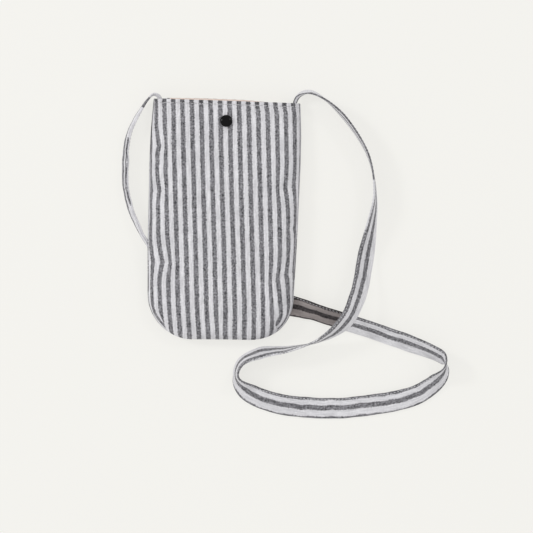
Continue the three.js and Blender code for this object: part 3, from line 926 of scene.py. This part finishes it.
def make_stitches(name, rows, stitch, material):
    """Several rows of stitches as one piece."""
    points = np.zeros((0, 3))
    faces = []
    for path, normal in rows:
        row_points, row_faces = stitch_row(path, normal, stitch)
        faces.append(row_faces + len(points))
        points = np.vstack([points, row_points])
    return make_mesh(name, points, np.vstack(faces).tolist(), {}, material)


def hem_path():
    half = half_width(TOP - HEM_Y) - HEM_STITCH_END
    x = np.linspace(-half, half, HEM_STEPS)
    y = np.full_like(x, TOP - HEM_Y)
    z = front_z(x, y, 0) + front_relief(x, y)
    normal = np.stack([-np.gradient(z, x), np.zeros_like(x), np.ones_like(x)], axis=-1)
    return np.stack([x, y - WALL / 2, z + HEM_STITCH_UP], axis=-1), unit(normal)


def strap_stitch_paths():
    side = np.array([1 - 2 * STRAP_STITCH_IN / STRAP_WIDE])
    keep = slice(STITCH_FREE_STEPS, -STITCH_FREE_STEPS)
    rows = []
    for face in (1, -1):
        path = strap.surface(side, face * (STRAP_THICK / 2 - STRAP_STITCH_SINK))[keep, 0]
        over = strap.surface(side, face * STRAP_THICK)[keep, 0]
        rows.append((path, unit(over - path)))
    return rows


# Snap pieces
def turned_piece(name, profile, high, slope, material):
    """A turned piece from (radius, height) points, on the middle line with the slope of what it sits on."""
    turns = np.linspace(0, 2 * math.pi, TURNED_SIDES, endpoint=False)
    radius, up = np.array(profile).T[:, :, None]
    across = radius * np.sin(turns)
    tilt = math.atan(slope)
    y = SNAP_Y + across * math.cos(tilt) - up * math.sin(tilt)
    z = high + across * math.sin(tilt) + up * math.cos(tilt)
    points = np.stack([radius * np.cos(turns), y, z], axis=-1)
    faces = grid_faces(len(profile), TURNED_SIDES, True)[:, ::-1]
    return make_mesh(name, points, faces.tolist(), {}, material)


def make_snap(black, steel):
    y = np.array([SNAP_Y - SNAP_SPAN, SNAP_Y, SNAP_Y + SNAP_SPAN], float)
    zero = np.zeros(3)
    front = front_z(zero, y, 0)
    slope = (front[2] - front[0]) / (2 * SNAP_SPAN)
    top, low = (lining_z(zero, y, LINING_WALL, np.full(3, side))[1] for side in (True, False))
    cap = [(SNAP_HOLE, -0.1), (CAP_R * 0.93, -0.1), (CAP_R, 0.25), (CAP_R, 0.55), (CAP_R * 0.985, CAP_SIDE)]
    for turn in np.linspace(0.1, math.pi / 2, CAP_ROWS)[:-1]:
        cap.append((CAP_R * 0.97 * math.cos(turn), lerp(CAP_SIDE, CAP_HIGH, math.sin(turn))))
    cap.append((SNAP_HOLE, CAP_HIGH))
    hollow = POST_R + SNAP_GAP
    socket = [
        (SNAP_HOLE, -0.9), (hollow - 0.1, -0.9), (hollow, -1.0), (hollow, -1.6),
        (hollow + 0.25, -SOCKET_HIGH), (SOCKET_R * 0.72, -SOCKET_HIGH), (SOCKET_R * 0.8, -1.6),
        (SOCKET_R * 0.86, -1.0), (SOCKET_R * 0.97, -0.8), (SOCKET_R, -0.6), (SOCKET_R, 0.1), (SNAP_HOLE, 0.1),
    ]
    stud = [
        (SNAP_HOLE, -0.1), (STUD_R * 0.97, -0.1), (STUD_R, 0.1), (STUD_R, 0.4), (STUD_R * 0.93, 0.65),
        (STUD_R * 0.6, 0.8), (POST_R * 0.95, 0.85), (POST_R * 0.86, 1.1), (POST_R * 0.9, 1.4), (POST_R, 1.65),
        (POST_R * 0.92, 1.95), (POST_R * 0.7, 2.12), (POST_R * 0.35, STUD_HIGH), (SNAP_HOLE, STUD_HIGH),
    ]
    dress(turned_piece("snap_dome", cap, front[1] + SNAP_GAP, slope, black), "snap_cap")
    dress(turned_piece("snap_ring", socket, top - SNAP_GAP, slope, steel), "snap_socket")
    dress(turned_piece("snap_post", stud, low + SNAP_GAP, 0, steel), "snap_stud")


# Materials: pairs of colours that noise runs between, and single ones
CHARCOAL_GRAIN = ((0.028, 0.0275, 0.031, 1), (0.34, 0.336, 0.363, 1))
CHARCOAL_STREAK = ((0.032, 0.0315, 0.035, 1), (0.30, 0.296, 0.318, 1))
WHITE_STREAK = ((0.64, 0.635, 0.665, 1), (0.80, 0.795, 0.825, 1))
WHITE_GRAIN = (0.46, 0.455, 0.48, 1)
FLECK = (0.52, 0.52, 0.54, 1)
HEM_TONE = (0.6, 0.6, 0.6, 1)
# Painted shadow: tints for the white and for the dark stripes where the strap lies beside the pouch
PAINTED_SHADOW_TINT = ((0.45, 0.405, 0.38, 1), (0.27, 0.24, 0.23, 1))
BEIGE = ((0.74, 0.61, 0.55, 1), (0.84, 0.73, 0.67, 1))
THREAD = ((0.60, 0.595, 0.62), (0.80, 0.795, 0.81))
BLACK = ((0.001, 0.001, 0.0012, 1), (0.003, 0.003, 0.0035, 1))
NICKEL = ((0.48, 0.48, 0.49, 1), (0.62, 0.62, 0.62, 1))
STREAK_SHARE = 0.42
FLECK_SHARE = 0.45
GRAIN_SHARE = 0.24
RIB_TONE = 0.03
RAGGED = 2.4
DARK_EDGE = 0.25
TUCK_EDGE = 0.15
# Noise over the cloth: scale across and along, detail, roughness and seed, for ragged edges of stripes,
# streaks, slubs, clouds and grain, then for the lining
COTTON_NOISE = [
    ((0.5, 1.0), 2.0, 0.7, 1.0),
    ((0.8, 0.09), 2.0, 0.6, 2.0),
    ((0.35, 1.0), 3.0, 0.7, 3.0),
    ((0.06, 0.05), 2.0, 0.5, 4.0),
    ((0.62, 0.56), 1.0, 0.7, 5.0),
]
LINING_NOISE = ((0.6, 1.8), 3.0, 0.6, 1.0)


class Shader:
    """A material's nodes, made one call each. An input is a number, a colour or another node's output."""

    def __init__(self, name):
        self.material = bpy.data.materials.new(name)
        self.material.use_nodes = True
        self.tree = self.material.node_tree
        self.surface = self.tree.nodes["Principled BSDF"]

    def feed(self, sockets, inputs):
        for name, value in inputs.items():
            if isinstance(value, bpy.types.NodeSocket):
                self.tree.links.new(value, sockets[name])
            else:
                sockets[name].default_value = value

    def set(self, **inputs):
        self.feed(self.surface.inputs, {name.replace("_", " "): value for name, value in inputs.items()})

    def new(self, kind):
        return self.tree.nodes.new("ShaderNode" + kind)

    def wire(self, node, inputs, output=0):
        self.feed(node.inputs, inputs)
        return node.outputs[output]

    def math(self, operation, *values):
        node = self.new("Math")
        node.operation = operation
        return self.wire(node, dict(enumerate(values)))

    def uv(self, name):
        node = self.new("UVMap")
        node.uv_map = name
        split = self.new("SeparateXYZ")
        return self.wire(split, {0: node.outputs[0]}), split.outputs[1]

    def place(self, x, y, z):
        return self.wire(self.new("CombineXYZ"), {0: x, 1: y, 2: z})

    def noise(self, at, scale, detail, roughness, seed):
        """Noise from about 0 to 1 over two coordinates, each times its scale."""
        x, y = (self.math("MULTIPLY", place, by) for place, by in zip(at, scale))
        inputs = {"Vector": self.place(x, y, seed), "Scale": 1.0, "Detail": detail, "Roughness": roughness}
        return self.wire(self.new("TexNoise"), inputs, "Fac")

    def between(self, value, low, high, to_low=0.0, to_high=1.0):
        """A smooth step of a value from low to high."""
        node = self.new("MapRange")
        node.interpolation_type = "SMOOTHSTEP"
        inputs = {"Value": value, "From Min": low, "From Max": high, "To Min": to_low, "To Max": to_high}
        return self.wire(node, inputs)

    def mix(self, share, a, b, blend="MIX"):
        node = self.new("Mix")
        node.data_type = "RGBA"
        node.blend_type = blend
        return self.wire(node, {"Factor": share, 6: a, 7: b}, 2)

    def tint(self, colour, by):
        return self.mix(1.0, colour, by, "MULTIPLY")

    def bump(self, height, strength, distance):
        inputs = {"Strength": strength, "Distance": distance * MM, "Height": height}
        self.set(Normal=self.wire(self.new("Bump"), inputs))


def weave_height(shader, u, v, warp, weft):
    """Height of a plain weave with the given yarn spacing."""
    calc = shader.math
    across = calc("SINE", calc("MULTIPLY", u, 2 * math.pi / warp))
    along = calc("SINE", calc("MULTIPLY", v, 2 * math.pi / weft))
    return calc("MULTIPLY", calc("MULTIPLY", across, along), 0.5)


def striped_cotton():
    """Woven cotton with charcoal and off-white stripes, slubs across it and yarn streaks along it."""
    shader = Shader("striped_cotton")
    calc = shader.math
    straight, _ = shader.uv("stripe")
    turned, side = shader.uv("turned")
    # The shade map holds painted shadow first, then the hem's darker charcoal
    shade, hem = shader.uv("shade")
    u, v = shader.uv("weave")
    ragged, streak, slub, cloud, grain = (shader.noise((u, v), *pattern) for pattern in COTTON_NOISE)
    outside = shader.between(side, -TUCK_EDGE, TUCK_EDGE)
    stripe = calc("MULTIPLY_ADD", calc("SUBTRACT", turned, straight), outside, straight)
    phase = calc("FRACT", calc("MULTIPLY_ADD", stripe, 1 / PITCH, 0.5))
    away = calc("MULTIPLY", calc("ABSOLUTE", calc("SUBTRACT", phase, 0.5)), PITCH)
    away = calc("MULTIPLY_ADD", calc("SUBTRACT", ragged, 0.5), RAGGED, away)
    dark = shader.between(away, DARK_WIDE / 2 - DARK_EDGE, DARK_WIDE / 2 + DARK_EDGE, 1.0, 0.0)
    fleck = shader.between(slub, 0.54, 0.68)
    rib = calc("MULTIPLY_ADD", calc("SINE", calc("MULTIPLY", v, 2 * math.pi / RIB_STEP)), RIB_TONE, 1.0)
    grain = shader.between(grain, 0.30, 0.70)
    streak = shader.between(streak, 0.32, 0.68)
    charcoal = shader.mix(grain, *CHARCOAL_GRAIN)
    charcoal = shader.mix(STREAK_SHARE, charcoal, shader.mix(streak, *CHARCOAL_STREAK))
    charcoal = shader.mix(calc("MULTIPLY", fleck, FLECK_SHARE), charcoal, FLECK)
    charcoal = shader.mix(hem, charcoal, shader.tint(charcoal, HEM_TONE))
    white = shader.mix(streak, *WHITE_STREAK)
    white = shader.mix(calc("MULTIPLY", grain, GRAIN_SHARE), white, WHITE_GRAIN)
    tone = calc("MULTIPLY", shader.between(cloud, 0.3, 0.7, 0.94, 1.04), rib)
    colour = shader.tint(shader.mix(dark, white, charcoal), shader.place(tone, tone, tone))
    # Painted shadow: where the shade map is set, the colour is tinted darker and browner
    colour = shader.mix(shade, colour, shader.tint(colour, shader.mix(dark, *PAINTED_SHADOW_TINT)))
    shader.bump(calc("MULTIPLY_ADD", slub, 1.2, weave_height(shader, u, v, 0.52, 0.58)), 0.35, 0.12)
    shader.set(
        Base_Color=colour,
        Roughness=shader.between(slub, 0.2, 0.8, 0.82, 0.95),
        Specular_IOR_Level=0.25,
        Sheen_Weight=0.12,
        Sheen_Roughness=0.5,
    )
    return shader.material


def plain_cotton():
    """Pinkish-beige plain weave of the lining."""
    shader = Shader("lining_cotton")
    calc = shader.math
    u, v = shader.uv("weave")
    slub = shader.noise((u, v), *LINING_NOISE)
    shader.bump(calc("MULTIPLY_ADD", slub, 0.8, weave_height(shader, u, v, 0.45, 0.45)), 0.3, 0.1)
    shader.set(
        Base_Color=shader.mix(shader.between(slub, 0.3, 0.7), *BEIGE),
        Roughness=shader.between(slub, 0.2, 0.8, 0.85, 0.95),
        Sheen_Weight=0.1,
    )
    return shader.material


def solid_finish(name, scale, detail, colours, steps, **constants):
    """A finish whose colour and roughness vary a little over the piece, and the noise that they follow."""
    shader = Shader(name)
    inputs = {"Vector": shader.new("TexCoord").outputs["Object"], "Scale": scale, "Detail": detail}
    wear = shader.wire(shader.new("TexNoise"), inputs, "Fac")
    shader.set(Base_Color=shader.mix(wear, *colours), Roughness=shader.between(wear, *steps), **constants)
    return shader, wear


def thread(name, tone):
    """Sewing thread, off-white times a tone."""
    colours = [[tone * c for c in colour] + [1] for colour in THREAD]
    shader, twist = solid_finish(name, 1800, 3, colours, (0.2, 0.8, 0.6, 0.8))
    shader.bump(twist, 0.4, 0.05)
    return shader.material


def black_lacquer():
    steps = (0.3, 0.8, 0.16, 0.28)
    gloss = {"Specular_IOR_Level": 0.0, "Coat_Weight": 0.3, "Coat_Roughness": 0.04}
    return solid_finish("black_lacquer", 900, 4, BLACK, steps, **gloss)[0].material


def nickel():
    return solid_finish("snap_metal", 1200, 4, NICKEL, (0.3, 0.8, 0.25, 0.42), Metallic=1.0)[0].material


# Stage: the floor is partly lit from beneath, like a light table, so that shadows on it are faint
FLOOR_COLOUR = [0.905, 0.897, 0.862]
FLOOR_GLOW = 0.75
FLOOR_HALF = 4000


def make_floor():
    mesh = bpy.data.meshes.new("floor")
    corners = [(x * FLOOR_HALF * MM, y * FLOOR_HALF * MM, 0) for x, y in ((-1, -1), (1, -1), (1, 1), (-1, 1))]
    mesh.from_pydata(corners, [], [(0, 1, 2, 3)])
    shader = Shader("pale_floor")
    shader.set(
        Base_Color=[(1 - FLOOR_GLOW) * c for c in FLOOR_COLOUR] + [1],
        Emission_Color=FLOOR_COLOUR + [1],
        Emission_Strength=FLOOR_GLOW,
        Roughness=1.0,
        Specular_IOR_Level=0.0,
    )
    mesh.materials.append(shader.material)
    add("floor", mesh)


def make_light(name, place, size, power):
    light = bpy.data.lights.new(name, "AREA")
    light.shape = "SQUARE"
    light.size = size * MM
    light.energy = power
    lamp = add(name, light)
    lamp.location = [p * MM for p in place]
    aim = np.array([*AIM[:2], 0]) - place
    flat = math.hypot(aim[0], aim[1])
    lamp.rotation_euler = (math.atan2(flat, -aim[2]), 0, math.atan2(aim[1], aim[0]) - math.pi / 2)


def make_stage():
    make_floor()
    world = bpy.data.worlds.new("studio")
    world.use_nodes = True
    background = world.node_tree.nodes["Background"]
    background.inputs["Color"].default_value = (1.0, 0.995, 0.985, 1)
    background.inputs["Strength"].default_value = 0.80
    bpy.context.scene.world = world
    make_light("key", (-2400, 1000, 1800), 560, 26)
    make_light("fill", (2000, 1800, 2500), 440, 10)
    bpy.context.scene.view_settings.view_transform = "Standard"


def make_camera():
    data = bpy.data.cameras.new("camera")
    data.sensor_width = SENSOR
    data.lens = SENSOR * (CAMERA_HIGH - AIM[2]) / (IMAGE_PX / PX_PER_MM)
    data.clip_end = 50
    camera = add("camera", data)
    camera.location = (AIM[0] * MM, AIM[1] * MM, CAMERA_HIGH * MM)
    camera.rotation_euler = (0, 0, TURN)
    bpy.context.scene.camera = camera


make_camera()
make_stage()
cotton = striped_cotton()
pale_thread = thread("pale_thread", 1.0)
grey_thread = thread("grey_thread", 0.70)

ribbon = make_strap(cotton)
dress(ribbon, "strap")
strap_thread = make_stitches("strap_stitches", strap_stitch_paths(), STRAP_STITCH, pale_thread)
dress(strap_thread)

front = panel("front_cloth", 0, front_z, front_stripes, cotton, True)
back = panel("back_cloth", BACK_OVER, back_z, back_stripes, cotton, False)
dress(front, "front_panel")
dress(back, "back_panel")
hem_thread = make_stitches("hem_stitches", [hem_path()], HEM_STITCH, grey_thread)
dress(hem_thread)

inside = make_lining(plain_cotton())
dress(inside, "lining")

make_snap(black_lacquer(), nickel())
